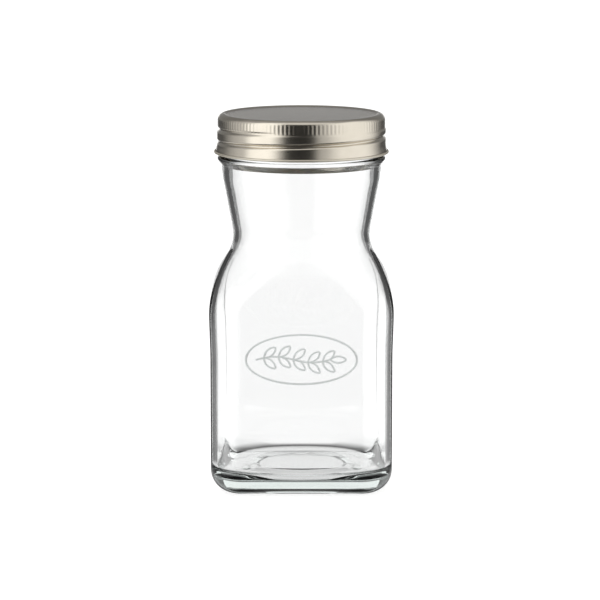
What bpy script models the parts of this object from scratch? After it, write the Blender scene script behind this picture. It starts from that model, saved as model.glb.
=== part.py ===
"""Screw-top glass bottle for sauce: a square body, a waisted round neck and a one-piece metal lid.

Metres, +Z up. The origin is the middle of the base, on the surface that the bottle stands on.
The front of the bottle faces -Y. The lid and its liner turn and lift about the Z axis.
"""

import math

import bmesh
import bpy

# Facets round every round wall
SEGMENTS = 48
FLAT_STEPS = 2
CHORD_ERROR = 0.00008

# Body of the bottle, outside
BODY_WIDTH = 0.0749
SHOULDER_SWELL = 0.00045
BODY_CORNER_RADIUS = 0.0135
HEEL_RADIUS = 0.0098
PANEL_HEIGHT = 0.0580
PANEL_RUNOUT = 0.0150
SHOULDER_RISE = 0.0115
SHOULDER_RADIUS = 0.0320

# Waist and neck, outside
SLOPE_RISE = 0.0173
WAIST_RADIUS = 0.02775
WAIST_BEND_RADIUS = 0.0150
NECK_RISE = 0.0285
NECK_BEND_RADIUS = 0.0600
NECK_LAND = 0.0030

# Collar bead under the lid
COLLAR_PROUD = 0.00170
COLLAR_HEIGHT = 0.0039
COLLAR_CHAMFER = 0.0014
COLLAR_ROUND = 0.0008

# Threaded finish
FINISH_RADIUS = 0.0331
FINISH_HEIGHT = 0.0152
FINISH_WALL = 0.0027
RIM_ROUND = 0.0009
THREAD_PITCH = 0.00508
THREAD_TURNS = 1.5
THREAD_HEIGHT = 0.00095
THREAD_HALF_WIDTH = 0.00125
THREAD_LEAD_IN = 0.00483
THREAD_ROWS_PER_PITCH = 6
THREAD_RUNOUT_DEGREES = 30.0
THREAD_START_DEGREES = -90.0

# Glass thickness and the inside
WALL = 0.0024
FLOOR = 0.0070
INNER_CORNER_RADIUS = 0.0111
INNER_HEEL_RADIUS = 0.0050
INNER_ROUNDING_RISE = 0.0100
INNER_FLOOR_SQUARE_SHARE = 0.35
FLOOR_DOME_RADIUS = 0.0290
FLOOR_DOME_RISE = 0.0008

# Underside
PUNT_DEPTH = 0.0010
PUNT_RADIUS = 0.0185
BEARING_WIDTH = 0.0030
LEAST_CORNER_SHARE = 0.15

# Liner inside the lid
LINER_THICKNESS = 0.0009
LINER_EDGE_ROUND = 0.0002
LINER_EDGE_CLEARANCE = 0.0004
SEAT_GAP = 0.0003

# Sheet-metal lid; its radii and heights are those of the middle of the sheet
SHEET = 0.0003
LID_THREAD_CLEARANCE = 0.0003
LID_ROOT_CLEARANCE = 0.00045
LID_PANEL_RECESS = 0.00035
LID_BEAD_WIDTH = 0.0027
LID_STEP_WIDTH = 0.0007
LID_BEAD_ROUND = 0.0010
LID_SHOULDER_ROUND = 0.0024
LID_BAND_HEIGHT = 0.0055
LID_SKIRT_SWELL = 0.00035
LID_SWELL_RUN = 0.0010
LID_FLARE = 0.00045
LID_FLARE_RUN = 0.0034
LID_ROWS_PER_PITCH = 7
LID_GROOVE_HALF_WIDTH = 0.0013
LID_GROOVE_START_DEGREES = 100.0
LID_GROOVE_RUN_IN_DEGREES = 160.0
LID_GROOVE_RUN_OUT_DEGREES = 80.0
LID_HEM_CLEARANCE = 0.0010
LID_HEM_RADIUS = 0.00038
LID_HEM_STEPS = 6
LID_HEM_TURN_DEGREES = 270.0

# Levels and radii that follow from the sizes above
BODY_HALF = BODY_WIDTH / 2
SHOULDER_HALF = BODY_HALF + SHOULDER_SWELL
BASE_HALF = BODY_HALF - HEEL_RADIUS
PANEL_END = PANEL_HEIGHT + PANEL_RUNOUT
SHOULDER_LEVEL = PANEL_END + SHOULDER_RISE
WAIST_LEVEL = SHOULDER_LEVEL + SLOPE_RISE
NECK_LEVEL = WAIST_LEVEL + NECK_RISE
COLLAR_LEVEL = NECK_LEVEL + NECK_LAND
COLLAR_TOP = COLLAR_LEVEL + COLLAR_HEIGHT
RIM_LEVEL = COLLAR_TOP + FINISH_HEIGHT
COLLAR_RADIUS = FINISH_RADIUS + COLLAR_PROUD
MOUTH_RADIUS = FINISH_RADIUS - FINISH_WALL
THREAD_START_LEVEL = COLLAR_TOP + THREAD_LEAD_IN
LINER_LEVEL = RIM_LEVEL + SEAT_GAP
LID_SEAT_LEVEL = LINER_LEVEL + LINER_THICKNESS + SEAT_GAP
LID_BAND_RADIUS = FINISH_RADIUS + THREAD_HEIGHT + LID_THREAD_CLEARANCE + SHEET / 2
LID_GROOVE_RADIUS = FINISH_RADIUS + LID_ROOT_CLEARANCE + SHEET / 2
LID_GROOVE_TURNS_ON = (LID_GROOVE_START_DEGREES - THREAD_START_DEGREES) / 360
LID_GROOVE_START_LEVEL = THREAD_START_LEVEL + THREAD_PITCH * (LID_GROOVE_TURNS_ON - 1 / 2)
LINER_RADIUS = LID_BAND_RADIUS - SHEET / 2 - LINER_EDGE_CLEARANCE

# Heights on the lid, from the underside of its panel
LID_PANEL_LEVEL = SHEET / 2
LID_BEAD_LEVEL = LID_PANEL_LEVEL + LID_PANEL_RECESS
LID_BAND_END = LID_BEAD_LEVEL - LID_BAND_HEIGHT
LID_HEM_LEVEL = COLLAR_TOP + LID_HEM_CLEARANCE + SHEET / 2 + LID_HEM_RADIUS - LID_SEAT_LEVEL

# Colours, red, green and blue from 0 to 1, and roughness
GLASS_COLOUR = (0.86, 0.90, 0.89)
GLASS_ROUGHNESS = 0.02
TINPLATE_COLOUR = (0.62, 0.59, 0.54)
TINPLATE_ROUGHNESS = 0.3
FOAM_COLOUR = (0.86, 0.85, 0.80)
FOAM_ROUGHNESS = 0.6

# Angles and the distance under which two points are one
FULL_TURN = 2 * math.pi
SMALLEST_TURN = math.radians(0.1)
SHARP_ANGLE = math.radians(40)
MERGE_DISTANCE = 0.00001


def clear_scene():
    """Remove every object and empty the parts' collections of an earlier run."""
    for item in list(bpy.data.objects):
        bpy.data.objects.remove(item)
    for old in list(bpy.data.collections):
        bpy.data.collections.remove(old)


def new_collection(name):
    """A collection linked to the scene."""
    collection = bpy.data.collections.new(name)
    bpy.context.scene.collection.children.link(collection)
    return collection


def principled(name, colour, roughness, metallic, transmission=0.0):
    """A material with the plain look of one piece."""
    material = bpy.data.materials.new(name)
    material.use_nodes = True
    shader = material.node_tree.nodes["Principled BSDF"]
    shader.inputs["Base Color"].default_value = (*colour, 1.0)
    shader.inputs["Roughness"].default_value = roughness
    shader.inputs["Metallic"].default_value = metallic
    shader.inputs["Transmission Weight"].default_value = transmission
    return material


def smooth_share(value, low, high):
    """An easy rise from 0 at low to 1 at high."""
    place = min(max((value - low) / (high - low), 0.0), 1.0)
    return place * place * (3 - 2 * place)


def rounded_line(corners):
    """The points of a line through corners (radius, height, rounding), rounded by an arc at each corner.

    The first and last corners have no rounding. An arc is no larger than the straight runs beside it allow.
    """
    points = []
    for index, (radius, height, rounding) in enumerate(corners):
        if rounding == 0:
            points.append((radius, height))
            continue
        before = corners[index - 1]
        after = corners[index + 1]
        back = (before[0] - radius, before[1] - height)
        ahead = (after[0] - radius, after[1] - height)
        back_length = math.hypot(*back)
        ahead_length = math.hypot(*ahead)
        back = (back[0] / back_length, back[1] / back_length)
        ahead = (ahead[0] / ahead_length, ahead[1] / ahead_length)
        between = math.acos(max(-1.0, min(1.0, back[0] * ahead[0] + back[1] * ahead[1])))
        turn = math.pi - between
        if turn < SMALLEST_TURN:
            points.append((radius, height))
            continue
        reach = rounding * math.tan(turn / 2)
        spare_back = back_length if before[2] == 0 else back_length / 2
        spare_ahead = ahead_length if after[2] == 0 else ahead_length / 2
        reach = min(reach, spare_back, spare_ahead)
        arc_radius = reach / math.tan(turn / 2)
        middle = (back[0] + ahead[0], back[1] + ahead[1])
        middle_length = math.hypot(*middle)
        distance = arc_radius / math.cos(turn / 2)
        centre_radius = radius + middle[0] / middle_length * distance
        centre_height = height + middle[1] / middle_length * distance
        start = (radius + back[0] * reach - centre_radius, height + back[1] * reach - centre_height)
        end = (radius + ahead[0] * reach - centre_radius, height + ahead[1] * reach - centre_height)
        first = math.atan2(start[1], start[0])
        last = math.atan2(end[1], end[0])
        sweep = (last - first + math.pi) % FULL_TURN - math.pi
        step_angle = 2 * math.acos(max(0.0, 1 - CHORD_ERROR / arc_radius))
        steps = max(2, math.ceil(turn / step_angle))
        for step in range(steps + 1):
            angle = first + sweep * step / steps
            across = arc_radius * math.cos(angle)
            up = arc_radius * math.sin(angle)
            points.append((centre_radius + across, centre_height + up))
    kept = [points[0]]
    for point in points[1:]:
        if math.dist(point, kept[-1]) > MERGE_DISTANCE:
            kept.append(point)
    return kept


def rounded_square(half_width, corner_radius):
    """The plan of a square with round corners, as SEGMENTS points from the middle of the +X side."""
    flat = max(half_width - corner_radius, 0.0)
    corner_radius = half_width - flat
    arc_steps = SEGMENTS // 4 - 2 * FLAT_STEPS
    quarter = [(half_width, flat * step / FLAT_STEPS) for step in range(FLAT_STEPS)]
    for step in range(arc_steps):
        angle = math.pi / 2 * step / arc_steps
        quarter.append((flat + corner_radius * math.cos(angle), flat + corner_radius * math.sin(angle)))
    quarter += [(flat * (FLAT_STEPS - step) / FLAT_STEPS, half_width) for step in range(FLAT_STEPS)]
    plan = []
    for side in range(4):
        for x, y in quarter:
            for _ in range(side):
                x, y = -y, x
            plan.append((x, y))
    return plan


def section(half_width, corner_radius, square_share):
    """A plan that is square_share of the way from a circle to a square with round corners."""
    plan = []
    for index, (x, y) in enumerate(rounded_square(half_width, corner_radius)):
        azimuth = FULL_TURN * index / SEGMENTS
        round_x = half_width * math.cos(azimuth)
        round_y = half_width * math.sin(azimuth)
        plan.append((round_x + (x - round_x) * square_share, round_y + (y - round_y) * square_share))
    return plan


def helix_share(azimuth, height, start, half_width, runs):
    """How strongly a right-hand helix of THREAD_TURNS marks this place on a round wall, from 0 to 1.

    start is the helix's first azimuth in degrees and its height there. runs are the angles in degrees
    over which it rises at its low end and fades at its high end.
    """
    first = math.radians(start[0])
    last = first + FULL_TURN * THREAD_TURNS
    run_in, run_out = (math.radians(run) for run in runs)
    strongest = 0.0
    angle = first + (azimuth - first) % FULL_TURN
    while angle <= last:
        off_centre = abs(height - start[1] - THREAD_PITCH * (angle - first) / FULL_TURN)
        if off_centre < half_width:
            ends = smooth_share(angle, first, first + run_in) * smooth_share(last - angle, 0.0, run_out)
            strongest = max(strongest, ends * (1 + math.cos(math.pi * off_centre / half_width)) / 2)
        angle += FULL_TURN
    return strongest


def finish_rows():
    """The heights of the rows that carry the thread, from the collar to the rim."""
    low = COLLAR_TOP
    high = RIM_LEVEL - RIM_ROUND
    count = max(2, round((high - low) / THREAD_PITCH * THREAD_ROWS_PER_PITCH))
    return [low + (high - low) * step / count for step in range(1, count)]


def inset_corner(corner_radius, drawn_in):
    """The corner radius left where the wall has drawn in by this much from its full width."""
    return max(corner_radius - max(drawn_in, 0.0), corner_radius * LEAST_CORNER_SHARE)


def outer_stations():
    """Rings (half-width, height, corner radius, square share, threaded) up the outside of the glass."""
    bearing_half = BASE_HALF - BEARING_WIDTH
    bearing_corner = inset_corner(BODY_CORNER_RADIUS, BODY_HALF - bearing_half)
    rings = [
        (PUNT_RADIUS, PUNT_DEPTH, PUNT_RADIUS, 0.0, False),
        (bearing_half, 0.0, bearing_corner, 1.0, False),
    ]
    line = rounded_line([
        (bearing_half, 0.0, 0.0),
        (BODY_HALF, 0.0, HEEL_RADIUS),
        (BODY_HALF, PANEL_HEIGHT, 0.0),
        (SHOULDER_HALF, PANEL_END, 0.0),
        (SHOULDER_HALF, SHOULDER_LEVEL, SHOULDER_RADIUS),
        (WAIST_RADIUS, WAIST_LEVEL, WAIST_BEND_RADIUS),
        (FINISH_RADIUS, NECK_LEVEL, NECK_BEND_RADIUS),
        (FINISH_RADIUS, COLLAR_LEVEL, 0.0),
        (COLLAR_RADIUS, COLLAR_LEVEL + COLLAR_CHAMFER, COLLAR_ROUND),
        (COLLAR_RADIUS, COLLAR_TOP, COLLAR_ROUND),
        (FINISH_RADIUS, COLLAR_TOP, 0.0),
    ])[1:]
    for half_width, height in line:
        drawn_in = BODY_HALF - half_width if height < HEEL_RADIUS else 0.0
        corner = inset_corner(BODY_CORNER_RADIUS, drawn_in)
        square_share = 1 - smooth_share(height, PANEL_END, WAIST_LEVEL)
        rings.append((half_width, height, corner, square_share, False))
    rings += [(FINISH_RADIUS, height, FINISH_RADIUS, 0.0, True) for height in finish_rows()]
    return rings


def inner_stations():
    """Rings over the rim and down the inside of the glass, to the floor."""
    inner_half = BODY_HALF - WALL
    line = rounded_line([
        (FINISH_RADIUS, RIM_LEVEL - RIM_ROUND, 0.0),
        (FINISH_RADIUS, RIM_LEVEL, RIM_ROUND),
        (MOUTH_RADIUS, RIM_LEVEL, RIM_ROUND),
        (MOUTH_RADIUS, NECK_LEVEL, NECK_BEND_RADIUS),
        (WAIST_RADIUS - WALL, WAIST_LEVEL, WAIST_BEND_RADIUS),
        (SHOULDER_HALF - WALL, SHOULDER_LEVEL, SHOULDER_RADIUS),
        (SHOULDER_HALF - WALL, PANEL_END, 0.0),
        (inner_half, PANEL_HEIGHT, 0.0),
        (inner_half, FLOOR + INNER_ROUNDING_RISE, 0.0),
        (inner_half, FLOOR, INNER_HEEL_RADIUS),
        (FLOOR_DOME_RADIUS, FLOOR, 0.0),
        (PUNT_RADIUS, FLOOR + FLOOR_DOME_RISE, 0.0),
    ])
    rings = []
    for half_width, height in line:
        drawn_in = inner_half - half_width if height < FLOOR + INNER_HEEL_RADIUS else 0.0
        corner = inset_corner(INNER_CORNER_RADIUS, drawn_in)
        rise = smooth_share(height, FLOOR, FLOOR + INNER_ROUNDING_RISE)
        square_share = INNER_FLOOR_SQUARE_SHARE + (1 - INNER_FLOOR_SQUARE_SHARE) * rise
        square_share *= 1 - smooth_share(height, PANEL_END, WAIST_LEVEL)
        rings.append((half_width, height, corner, square_share, False))
    return rings


def ring_vertices(shape, half_width, height, corner_radius, square_share, threaded):
    """One ring of the loft, raised along the thread where it is threaded."""
    start = (THREAD_START_DEGREES, THREAD_START_LEVEL)
    runs = (THREAD_RUNOUT_DEGREES, THREAD_RUNOUT_DEGREES)
    ring = []
    for index, (x, y) in enumerate(section(half_width, corner_radius, square_share)):
        scale = 1.0
        if threaded:
            azimuth = FULL_TURN * index / SEGMENTS
            share = helix_share(azimuth, height, start, THREAD_HALF_WIDTH, runs)
            scale += THREAD_HEIGHT * share / half_width
        ring.append(shape.verts.new((x * scale, y * scale, height)))
    return ring


def make_bottle(collection):
    """The glass: square below and round above, so it is lofted ring by ring as one closed wall."""
    shape = bmesh.new()
    stations = outer_stations() + inner_stations()
    rings = [ring_vertices(shape, *station) for station in stations]
    for low, high in zip(rings, rings[1:]):
        for index in range(SEGMENTS):
            following = (index + 1) % SEGMENTS
            shape.faces.new((low[index], low[following], high[following], high[index]))
    under_middle = shape.verts.new((0.0, 0.0, PUNT_DEPTH))
    floor_middle = shape.verts.new((0.0, 0.0, FLOOR + FLOOR_DOME_RISE))
    for index in range(SEGMENTS):
        following = (index + 1) % SEGMENTS
        shape.faces.new((under_middle, rings[0][following], rings[0][index]))
        shape.faces.new((floor_middle, rings[-1][index], rings[-1][following]))
    bmesh.ops.recalc_face_normals(shape, faces=shape.faces)
    mesh = bpy.data.meshes.new("glass_bottle")
    shape.to_mesh(mesh)
    shape.free()
    bottle = bpy.data.objects.new("glass_bottle", mesh)
    collection.objects.link(bottle)
    mesh.materials.append(principled("clear_glass", GLASS_COLOUR, GLASS_ROUGHNESS, 0.0, 1.0))
    mesh.shade_smooth()
    mesh.set_sharp_from_angle(angle=SHARP_ANGLE)
    return bottle


def make_liner(collection):
    """The sealing disc that lies between the glass rim and the lid's panel."""
    bpy.ops.mesh.primitive_cylinder_add(
        vertices=SEGMENTS,
        radius=LINER_RADIUS,
        depth=LINER_THICKNESS,
        location=(0.0, 0.0, LINER_LEVEL + LINER_THICKNESS / 2),
    )
    liner = bpy.context.object
    liner.name = "lid_liner"
    liner.data.name = "lid_liner"
    for owner in list(liner.users_collection):
        owner.objects.unlink(liner)
    collection.objects.link(liner)
    edge = liner.modifiers.new("edge_round", "BEVEL")
    edge.width = LINER_EDGE_ROUND
    edge.segments = 1
    edge.limit_method = "ANGLE"
    liner.data.materials.append(principled("liner_foam", FOAM_COLOUR, FOAM_ROUGHNESS, 0.0))
    return liner


def lid_skirt_radius(height):
    """The skirt's plain radius: the knurled band's above, a little more below it, flared at the hem."""
    swell = smooth_share(LID_BAND_END - height, 0.0, LID_SWELL_RUN)
    flare = smooth_share(LID_HEM_LEVEL + LID_FLARE_RUN - height, 0.0, LID_FLARE_RUN)
    return LID_BAND_RADIUS + LID_SKIRT_SWELL * swell + LID_FLARE * flare


def lid_outline():
    """The lid's sheet (radius, height) from the middle of the panel, over the bead and down to the hem."""
    step_end = LID_BAND_RADIUS - LID_BEAD_WIDTH
    outline = rounded_line([
        (0.0, LID_PANEL_LEVEL, 0.0),
        (step_end - LID_STEP_WIDTH, LID_PANEL_LEVEL, LID_BEAD_ROUND),
        (step_end, LID_BEAD_LEVEL, LID_BEAD_ROUND),
        (LID_BAND_RADIUS, LID_BEAD_LEVEL, LID_SHOULDER_ROUND),
        (LID_BAND_RADIUS, LID_BAND_END, 0.0),
    ])[:-1]
    skirt_top = outline[-1][1]
    count = max(2, round((skirt_top - LID_HEM_LEVEL) / THREAD_PITCH * LID_ROWS_PER_PITCH))
    for step in range(1, count + 1):
        height = skirt_top + (LID_HEM_LEVEL - skirt_top) * step / count
        outline.append((lid_skirt_radius(height), height))
    hem_centre = outline[-1][0] + LID_HEM_RADIUS
    for step in range(1, LID_HEM_STEPS + 1):
        angle = math.radians(LID_HEM_TURN_DEGREES) * step / LID_HEM_STEPS
        radius = hem_centre - LID_HEM_RADIUS * math.cos(angle)
        outline.append((radius, LID_HEM_LEVEL - LID_HEM_RADIUS * math.sin(angle)))
    return outline


def roll_thread(mesh):
    """Press the lid's skirt in along a helix that runs halfway between the turns of the glass thread."""
    start = (LID_GROOVE_START_DEGREES, LID_GROOVE_START_LEVEL - LID_SEAT_LEVEL)
    runs = (LID_GROOVE_RUN_IN_DEGREES, LID_GROOVE_RUN_OUT_DEGREES)
    for vertex in mesh.vertices:
        radius = math.hypot(vertex.co.x, vertex.co.y)
        if vertex.co.z < LID_HEM_LEVEL or radius <= LID_GROOVE_RADIUS:
            continue
        azimuth = math.atan2(vertex.co.y, vertex.co.x)
        share = helix_share(azimuth, vertex.co.z, start, LID_GROOVE_HALF_WIDTH, runs)
        scale = 1 - (radius - LID_GROOVE_RADIUS) * share / radius
        vertex.co.x *= scale
        vertex.co.y *= scale


def make_lid(collection):
    """The lid: a turned sheet with the thread rolled into its skirt, and its thickness put on last."""
    outline = lid_outline()
    profile = bpy.data.meshes.new("lid_profile")
    points = [(radius, 0.0, height) for radius, height in outline]
    profile.from_pydata(points, [(index, index + 1) for index in range(len(points) - 1)], [])
    turned = bpy.data.objects.new("lid_profile", profile)
    collection.objects.link(turned)
    screw = turned.modifiers.new("turned", "SCREW")
    screw.steps = SEGMENTS
    screw.render_steps = SEGMENTS
    screw.use_merge_vertices = True
    screw.merge_threshold = MERGE_DISTANCE
    depsgraph = bpy.context.evaluated_depsgraph_get()
    mesh = bpy.data.meshes.new_from_object(turned.evaluated_get(depsgraph))
    mesh.name = "screw_lid"
    bpy.data.objects.remove(turned)
    roll_thread(mesh)
    mesh.materials.append(principled("tinplate", TINPLATE_COLOUR, TINPLATE_ROUGHNESS, 1.0))
    mesh.shade_smooth()
    mesh.set_sharp_from_angle(angle=SHARP_ANGLE)
    lid = bpy.data.objects.new("screw_lid", mesh)
    lid.location = (0.0, 0.0, LID_SEAT_LEVEL)
    collection.objects.link(lid)
    sheet = lid.modifiers.new("sheet_thickness", "SOLIDIFY")
    sheet.thickness = SHEET
    sheet.offset = 0.0
    sheet.use_even_offset = True
    return lid


def main():
    """Build every piece of the bottle."""
    clear_scene()
    parts = new_collection("sauce_bottle")
    make_bottle(parts)
    make_liner(parts)
    make_lid(parts)


main()
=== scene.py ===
"""Dress the sauce bottle: moulded glass, a rolled tinplate lid, its foam liner and a plain studio.

Metres, +Z up. The bottle stands on the floor at the origin and its front faces -Y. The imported
solids give the sizes that must agree with them, and every new piece stays inside their box.
"""

import math

import bmesh
import bpy
from mathutils import Matrix, Vector


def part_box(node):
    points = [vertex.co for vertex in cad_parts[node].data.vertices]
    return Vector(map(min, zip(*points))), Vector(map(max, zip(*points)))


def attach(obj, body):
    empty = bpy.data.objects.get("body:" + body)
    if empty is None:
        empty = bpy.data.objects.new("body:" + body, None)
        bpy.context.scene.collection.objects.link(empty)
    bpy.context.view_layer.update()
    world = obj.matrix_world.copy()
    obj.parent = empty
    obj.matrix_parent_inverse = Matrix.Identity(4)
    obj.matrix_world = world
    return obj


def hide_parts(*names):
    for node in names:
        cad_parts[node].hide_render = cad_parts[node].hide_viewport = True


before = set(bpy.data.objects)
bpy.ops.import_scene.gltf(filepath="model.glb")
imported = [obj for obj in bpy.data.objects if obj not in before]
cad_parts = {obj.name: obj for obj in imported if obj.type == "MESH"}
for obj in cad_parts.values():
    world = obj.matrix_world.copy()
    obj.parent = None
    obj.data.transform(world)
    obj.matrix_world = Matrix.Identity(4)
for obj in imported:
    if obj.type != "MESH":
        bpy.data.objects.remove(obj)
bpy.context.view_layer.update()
GLASS_LOW, GLASS_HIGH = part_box("glass_bottle")
LID_LOW, LID_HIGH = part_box("screw_lid")
LINER_LOW, LINER_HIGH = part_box("lid_liner")

bl_info = {
    "name": "Screw-top Sauce Bottle",
    "version": (1, 0, 0),
    "blender": (4, 5, 0),
    "location": "View3D > Sidebar > Bottle",
    "description": "Models a square glass sauce bottle, its rolled metal lid and a plain studio",
    "category": "Object",
}

FULL_TURN = 2 * math.pi

# Vertices nearer each other than this are one vertex
MERGE_DISTANCE = 0.000005

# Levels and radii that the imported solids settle
SHOULDER_HALF = GLASS_HIGH.x
RIM_LEVEL = GLASS_HIGH.z
LID_TOP = LID_HIGH.z
HEM_LOW = LID_LOW.z
LINER_RADIUS = LINER_HIGH.x

# The glass mouth, which the lid's sizes follow
FINISH_RADIUS = 0.0331
FINISH_HEIGHT = 0.0152
FINISH_WALL = 0.0027
RIM_ROUND = 0.0009
THREAD_PITCH = 0.00508
THREAD_TURNS = 1.5
THREAD_HEIGHT = 0.00095
THREAD_HALF_WIDTH = 0.00125
THREAD_LEAD_IN = 0.00483
THREAD_RUNOUT_DEGREES = 30.0
THREAD_START_DEGREES = -90.0
MOUTH_RADIUS = FINISH_RADIUS - FINISH_WALL
COLLAR_TOP = RIM_LEVEL - FINISH_HEIGHT
THREAD_START_LEVEL = COLLAR_TOP + THREAD_LEAD_IN

# The bottle's outline from the collar down to the body
COLLAR_HEIGHT = 0.0039
COLLAR_PROUD = 0.0017
COLLAR_CHAMFER = 0.0024
COLLAR_ROUND = 0.0014
COLLAR_FILLET = 0.0005
NECK_LAND = 0.0030
NECK_RISE = 0.0285
NECK_BEND_RADIUS = 0.0600
WAIST_RADIUS = 0.02775
WAIST_BEND_RADIUS = 0.0150
SLOPE_RISE = 0.0173
SHOULDER_RADIUS = 0.0320
SHOULDER_RISE = 0.0115
PANEL_RUNOUT = 0.0150
PANEL_BLEND_RADIUS = 0.18
COLLAR_RADIUS = FINISH_RADIUS + COLLAR_PROUD
COLLAR_LEVEL = COLLAR_TOP - COLLAR_HEIGHT
NECK_LEVEL = COLLAR_LEVEL - NECK_LAND
WAIST_LEVEL = NECK_LEVEL - NECK_RISE
SHOULDER_LEVEL = WAIST_LEVEL - SLOPE_RISE
PANEL_END = SHOULDER_LEVEL - SHOULDER_RISE
PANEL_HEIGHT = PANEL_END - PANEL_RUNOUT

# The floor of the bottle and its underside
INNER_ROUNDING_RISE = 0.0040
FLOOR_SQUARE_SHARE = 0.2
DOME_RADIUS = 0.0290
DOME_RISE = 0.0008
DOME_ROUND = 0.0100
PUNT_DEPTH = 0.0010
PUNT_RADIUS = 0.0185
PUNT_STEP = 0.0006
PUNT_STEP_WIDTH = 0.0008
PUNT_STEP_ROUND = 0.0003
BEARING_WIDTH = 0.0030
BEARING_ROUND = 0.0040
LEAST_CORNER_SHARE = 0.15

# How finely the pieces are drawn. FLAT_SHARE of a quarter turn's steps lies on each half panel.
GLASS_TURN_STEPS = 144
FLAT_SHARE = 1 / 6
LEAST_BEND_STEPS = 2
OUTLINE_STEP = 0.0015
THREAD_STEP = 0.0004
BEND_STEP_DEGREES = 6.0
RELIEF_CELL = 0.00025
LINER_TURN_STEPS = 128
LID_STEPS_PER_TOOTH = 4

# The sprig in its oval, moulded on the front panel
OVAL_HALF_WIDTH = 0.0226
OVAL_HALF_HEIGHT = 0.0102
STEM_HALF_LENGTH = 0.0150
STEM_WAVE = 0.0012
LEAF_PAIRS = 5
LEAF_LENGTH = 0.0066
LEAF_WIDTH = 0.0027
LEAF_SPREAD_DEGREES = 42.0
RELIEF_LINE_HALF_WIDTH = 0.00070
RELIEF_FROST = 0.45
# The raised lines' grey is painted shade, laid over their real frost
RELIEF_PAINTED_SHADE = "#99A19E"
PATCH_MARGIN = 0.0012
RELIEF_MARK = "relief"
STEM_START = -STEM_HALF_LENGTH - LEAF_LENGTH / 2
STEM_END = STEM_HALF_LENGTH - LEAF_LENGTH / 2

# The lid's sheet; its radii and levels are those of the middle of the sheet
SHEET = 0.0003
LID_THREAD_CLEARANCE = 0.0003
LID_ROOT_CLEARANCE = 0.00045
LID_PANEL_RECESS = 0.00035
LID_BEAD_WIDTH = 0.0027
LID_STEP_WIDTH = 0.0007
LID_BEAD_ROUND = 0.0010
LID_SHOULDER_ROUND = 0.0024
LID_BAND_HEIGHT = 0.0055
LID_SKIRT_SWELL = 0.00035
LID_SWELL_RUN = 0.0010
LID_FLARE = 0.00045
LID_FLARE_RUN = 0.0034
LID_GROOVE_HALF_WIDTH = 0.0013
LID_GROOVE_START_DEGREES = 100.0
LID_GROOVE_RUN_IN_DEGREES = 160.0
LID_GROOVE_RUN_OUT_DEGREES = 80.0
LID_GROOVE_DROP = 0.0003
HEM_RADIUS = 0.00038
HEM_TURN_DEGREES = 270.0
HEM_STEPS = 10
KNURL_EDGE = 0.0005
BAND_RADIUS = FINISH_RADIUS + THREAD_HEIGHT + LID_THREAD_CLEARANCE + SHEET / 2
GROOVE_RADIUS = FINISH_RADIUS + LID_ROOT_CLEARANCE + SHEET / 2
BEAD_LEVEL = LID_TOP - SHEET / 2
PANEL_LEVEL = BEAD_LEVEL - LID_PANEL_RECESS
BAND_END = BEAD_LEVEL - LID_BAND_HEIGHT
HEM_LEVEL = HEM_LOW + SHEET / 2 + HEM_RADIUS
GROOVE_TURNS_ON = (LID_GROOVE_START_DEGREES - THREAD_START_DEGREES) / 360
GROOVE_START_LEVEL = THREAD_START_LEVEL + THREAD_PITCH * (GROOVE_TURNS_ON - 1 / 2) - LID_GROOVE_DROP

# The liner's edge and the ring that the glass rim has pressed into it
LINER_EDGE_ROUND = 0.0002
LINER_DENT = 0.00014
LINER_DENT_EDGE = 0.0004

# Real sizes of the patterns in the finishes, and how far two of them vary
GLASS_WAVE = 0.018
GLASS_WAVE_HEIGHT = 0.00002
GLASS_HAZE = 0.009
TIN_GRAIN_LENGTH = 0.012
TIN_GRAIN_SPACING = 0.00025
TIN_GRAIN_DEPTH = 0.000002
TIN_PATCH = 0.007
TIN_ROUGHNESS_SPREAD = 0.02
LACQUER_PATCH = 0.005
FOAM_CELL = 0.0004
FOAM_CELL_DEPTH = 0.00003
FOAM_CLOUD = 0.006
FOAM_CLOUD_SHADE = 0.93

# A Mix node's sockets for colours, by number, because its other kinds share their names
MIX_SHARE = 0
MIX_FIRST = 6
MIX_SECOND = 7
MIX_RESULT = 2

# The photograph's view: a long lens a little over a metre away, looking slightly down
CAMERA_DISTANCE = 1.180
CAMERA_HEIGHT = 0.277
CAMERA_OFFSET = -0.00058
CAMERA_PITCH_DEGREES = 9.66
CAMERA_LENS = 171.96

# A narrow white sweep under and behind the bottle, which glows by itself. It fills the glass with
# white and leaves the edges dark. The bottle's shadow is painted on it as a dark ring: SHADOW_SHARE
# of the white is left at SHADOW_RADIUS, and UNDER_GLASS_PAINTED_SHADE_SHARE of it inside
# SHADOW_INNER, as painted shade under the glass.
SWEEP_NARROW_HALF = 0.046
SWEEP_HALF_WIDTH = 0.175
SWEEP_FRONT = -0.045
SWEEP_BACK = 0.50
SWEEP_TOP = 0.19
SWEEP_BEND = 0.05
SWEEP_BEND_STEPS = 12
SWEEP_DROP = 0.0002
SHADOW_INNER = 0.034
SHADOW_RADIUS = 0.041
SHADOW_OUTER = 0.048
SHADOW_SHARE = 0.15
UNDER_GLASS_PAINTED_SHADE_SHARE = 0.70
SWEEP_TABLE_WHITE = 1.12
SWEEP_BACK_WHITE = 1.14

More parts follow.
